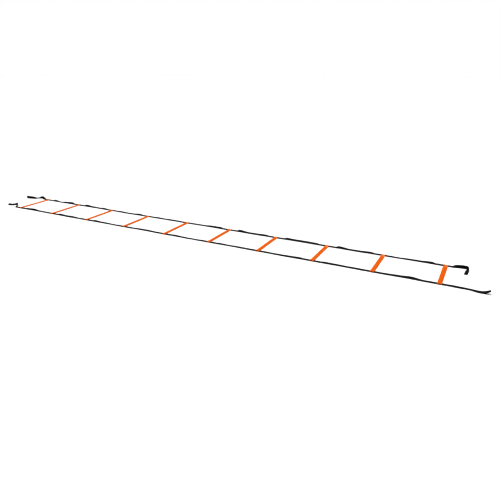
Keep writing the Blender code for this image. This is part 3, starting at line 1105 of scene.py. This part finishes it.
class LADDER_OT_slats(bpy.types.Operator):
    """Model one slat with its two keepers, and lay a copy of it at each rung"""

    bl_idname = "ladder.slats"
    bl_label = "Moulded Slats"

    def execute(self, context):
        slats = context.scene.ladder_slats
        webbing = context.scene.ladder_webbing
        bpy.ops.object.select_all(action="DESELECT")
        model = shape_slat_blank(slats, webbing)
        for side in (-1, 1):
            cut_with(model, shape_tunnel_cutter(side, slats, webbing))
            cut_with(model, shape_notch_cutter(side, slats))
            for share in PIN_MARK_SHARES:
                cut_with(model, shape_pin_cutter(side * share * slats.length / 2, slats))
        mark_rim(model, slats)
        finish_shading(model, math.radians(35))
        model.data.materials.append(find_material("moulded_polypropylene_orange"))
        for number in range(1, RUNG_COUNT + 1):
            slat = place_copy(model, f"moulded_slat_{number:02d}", (rung_x(number), 0, 0))
            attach(slat, f"slat_{number:02d}")
            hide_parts(f"rung_{number:02d}")
        bpy.data.objects.remove(model)
        return {"FINISHED"}


class LADDER_OT_bay_webbing(bpy.types.Operator):
    """Lay the two straps through every bay, each length finely stepped at the middle of its bay"""

    bl_idname = "ladder.bay_webbing"
    bl_label = "Webbing Between Rungs"

    def execute(self, context):
        slats = context.scene.ladder_slats
        webbing = context.scene.ladder_webbing
        for word in ("near", "far"):
            strap = Strap(word, slats, webbing)
            for bay in range(1, RUNG_COUNT):
                fold_height = FOLD_HEIGHTS[f"bay_{bay}_fold"] - strap.guided_height
                fold_reach = abs(fold_height) * FOLD_REACH_SHARE
                stations = strap.bay_stations(bay, fold_reach)
                piece = model_webbing(f"{word}_webbing_bay_{bay}", stations, webbing, (bay - 1) * RUNG_PITCH)
                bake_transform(piece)
                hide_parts(f"{word}_strap_{bay:02d}", f"{word}_strap_{bay + 1:02d}")
        return {"FINISHED"}


class LADDER_OT_tails(bpy.types.Operator):
    """Lay the four loose tails, with their ends melted hard"""

    bl_idname = "ladder.tails"
    bl_label = "Loose Tails"

    def execute(self, context):
        slats = context.scene.ladder_slats
        webbing = context.scene.ladder_webbing
        for word in ("near", "far"):
            strap = Strap(word, slats, webbing)
            for end, place, number in ((-1, "first", 1), (1, "last", RUNG_COUNT)):
                stations = strap.tail_stations(end, webbing.sealed_length)
                start = (RUNG_COUNT - 1) * RUNG_PITCH
                if end < 0:
                    stations = stations[::-1]
                    start = -sum((b[0] - a[0]).length for a, b in zip(stations, stations[1:]))
                piece = model_webbing(f"{word}_tail_{place}", stations, webbing, start, sealed_end=end)
                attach(piece, f"section_{number:02d}")
                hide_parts(f"{word}_strap_{number:02d}")
        return {"FINISHED"}


def sink_with_fold(floor):
    """Keep the floor under the lowest tail as the ladder folds, because half of its stack goes down."""
    last_fold_x = FIRST_RUNG_X + (RUNG_COUNT - 1.5) * RUNG_PITCH
    level_drop = LEVEL_SECTION_DROP_SHARE * RUNG_PITCH
    bpy.ops.object.constraint_add(type="TRANSFORM")
    sink = floor.constraints[0]
    sink.name = "sink_with_fold"
    sink.target = frame["bodies"][LEVEL_SECTION]
    sink.use_motion_extrapolate = True
    sink.from_min_z = -level_drop
    sink.to_min_z = -level_drop - (CAD_BOX[1].x - last_fold_x)
    sink.map_to_z_from = "Z"
    sink.mix_mode = "ADD"


class LADDER_OT_stage(bpy.types.Operator):
    """Set the pale floor, the white surround, the soft key light and the camera"""

    bl_idname = "ladder.stage"
    bl_label = "Studio Stage"

    def execute(self, context):
        stage = context.scene.ladder_stage
        bpy.ops.object.select_all(action="DESELECT")
        bpy.ops.mesh.primitive_plane_add(size=stage.floor_size, location=(0, 0, -STRAP_CLEARANCE))
        floor = context.active_object
        floor.name = "studio_floor"
        floor.data.materials.append(make_floor_material(stage))
        sink_with_fold(floor)

        context.scene.world = make_surround(stage)

        bpy.ops.object.light_add(type="SUN", rotation=stage.key_turn)
        key = context.active_object
        key.name = "key_softbox"
        key.data.energy = stage.key_strength
        key.data.angle = stage.key_angle

        bpy.ops.object.camera_add(
            location=stage.camera_place,
            rotation=(math.pi / 2 - stage.camera_elevation, 0, stage.camera_azimuth),
        )
        camera = context.active_object
        camera.name = "photo_camera"
        camera.data.sensor_width = 36
        camera.data.lens = stage.camera_lens
        camera.data.clip_end = stage.floor_size
        context.scene.camera = camera
        context.scene.view_settings.view_transform = "Standard"
        context.scene.view_settings.gamma = stage.gamma
        context.scene.cycles.filter_width = stage.pixel_blur
        return {"FINISHED"}


class LADDER_PT_panel(bpy.types.Panel):
    """Buttons that build the ladder piece by piece"""

    bl_label = "Agility Ladder"
    bl_idname = "LADDER_PT_panel"
    bl_space_type = "VIEW_3D"
    bl_region_type = "UI"
    bl_category = "Ladder"

    def draw(self, context):
        scene = context.scene
        for settings in (scene.ladder_slats, scene.ladder_webbing, scene.ladder_stage):
            box = self.layout.box()
            for name in settings.__annotations__:
                box.prop(settings, name)
        for operator in OPERATORS:
            self.layout.operator(operator.bl_idname)


OPERATORS = (
    LADDER_OT_materials,
    LADDER_OT_slats,
    LADDER_OT_bay_webbing,
    LADDER_OT_tails,
    LADDER_OT_stage,
)
CLASSES = (SlatSettings, WebbingSettings, StageSettings, *OPERATORS, LADDER_PT_panel)


def register():
    for part in CLASSES:
        bpy.utils.register_class(part)
    bpy.types.Scene.ladder_slats = bpy.props.PointerProperty(type=SlatSettings)
    bpy.types.Scene.ladder_webbing = bpy.props.PointerProperty(type=WebbingSettings)
    bpy.types.Scene.ladder_stage = bpy.props.PointerProperty(type=StageSettings)


def unregister():
    del bpy.types.Scene.ladder_stage
    del bpy.types.Scene.ladder_webbing
    del bpy.types.Scene.ladder_slats
    for part in reversed(CLASSES):
        bpy.utils.unregister_class(part)


def main():
    register()
    bpy.ops.ladder.materials()
    bpy.ops.ladder.slats()
    bpy.ops.ladder.bay_webbing()
    bpy.ops.ladder.tails()
    bpy.ops.ladder.stage()


if __name__ == "__main__":
    main()
